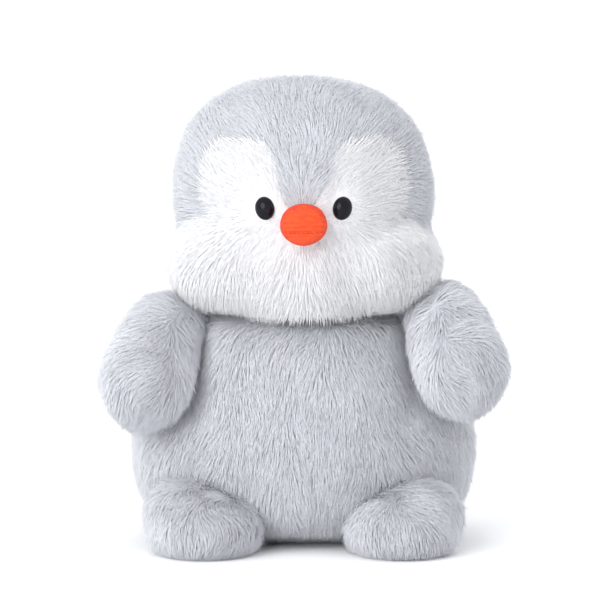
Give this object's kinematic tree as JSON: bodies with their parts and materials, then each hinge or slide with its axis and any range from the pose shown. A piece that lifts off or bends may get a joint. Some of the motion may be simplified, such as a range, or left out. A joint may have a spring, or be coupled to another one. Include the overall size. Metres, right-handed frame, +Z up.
{
  "type": "plush penguin",
  "caption": "Sitting plush penguin of long-pile faux fur, with a big round head, white face, small stuffed beak, plump wings and soft feet.",
  "frame": {"origin": "on the floor, under the middle of the toy's bounding box", "axes": "+Z up, -Y the way the toy faces, +X the toy's own left"},
  "size_m": [0.206, 0.184, 0.24],
  "materials": {
    "grey_fur": "matte",
    "white_fur": "matte",
    "orange_plush": "matte",
    "eye_plastic": "gloss",
    "washer_plastic": "satin",
    "stuffing": "matte",
    "pouch_cloth": "matte",
    "pellets": "satin",
    "thread": "matte"
  },
  "bodies": {
    "body": {"body_front_left": "grey_fur", "body_front_right": "grey_fur", "body_back_left": "grey_fur", "body_back_right": "grey_fur", "body_base": "grey_fur", "body_stuffing": "stuffing", "pellet_pouch": "pouch_cloth", "pellets": "pellets"},
    "neck": {"neck_seam": "thread"},
    "head": {"crown_left": "grey_fur", "crown_right": "grey_fur", "head_back_left": "grey_fur", "head_back_right": "grey_fur", "eye_patch_left": "white_fur", "eye_patch_right": "white_fur", "muzzle_left": "white_fur", "muzzle_right": "white_fur", "head_stuffing": "stuffing", "eye_left": "eye_plastic", "eye_right": "eye_plastic", "eye_washer_left": "washer_plastic", "eye_washer_right": "washer_plastic", "beak_upper": "orange_plush", "beak_lower": "orange_plush", "beak_stuffing": "stuffing"},
    "tail": {"tail_upper": "grey_fur", "tail_lower": "grey_fur", "tail_stuffing": "stuffing"},
    "wing_left": {"wing_left_outer": "grey_fur", "wing_left_inner": "grey_fur", "wing_left_stuffing": "stuffing"},
    "foot_left": {"foot_left_upper": "grey_fur", "foot_left_sole": "grey_fur", "foot_left_stuffing": "stuffing"},
    "wing_right": {"wing_right_outer": "grey_fur", "wing_right_inner": "grey_fur", "wing_right_stuffing": "stuffing"},
    "foot_right": {"foot_right_upper": "grey_fur", "foot_right_sole": "grey_fur", "foot_right_stuffing": "stuffing"}
  },
  "joints": [
    {"name": "head_turn", "type": "hinge", "parent": "body", "child": "neck", "pos_m": [0, -0.003, 0.1165], "axis": [0, 0, 1], "range_deg": [-15, 15], "stiffness_Nm_per_rad": 0.4},
    {"name": "head_nod", "type": "hinge", "parent": "neck", "child": "head", "pos_m": [0, -0.003, 0.1165], "axis": [1, 0, 0], "range_deg": [-5, 5], "stiffness_Nm_per_rad": 0.6},
    {"name": "wing_left_lift", "type": "hinge", "parent": "body", "child": "wing_left", "pos_m": [0.072, -0.026, 0.113], "axis": [0, -1, 0], "range_deg": [0, 40]},
    {"name": "foot_left_lift", "type": "hinge", "parent": "body", "child": "foot_left", "pos_m": [0.0505, -0.052, 0.0355], "axis": [-1, 0, 0], "range_deg": [0, 20]},
    {"name": "wing_right_lift", "type": "hinge", "parent": "body", "child": "wing_right", "pos_m": [-0.072, -0.026, 0.113], "axis": [0, 1, 0], "range_deg": [0, 40]},
    {"name": "foot_right_lift", "type": "hinge", "parent": "body", "child": "foot_right", "pos_m": [-0.0505, -0.052, 0.0355], "axis": [-1, 0, 0], "range_deg": [0, 20]},
    {"name": "tail_lift", "type": "hinge", "parent": "body", "child": "tail", "pos_m": [0, 0.0785, 0.0345], "axis": [1, 0, 0], "range_deg": [0, 25]}
  ]
}
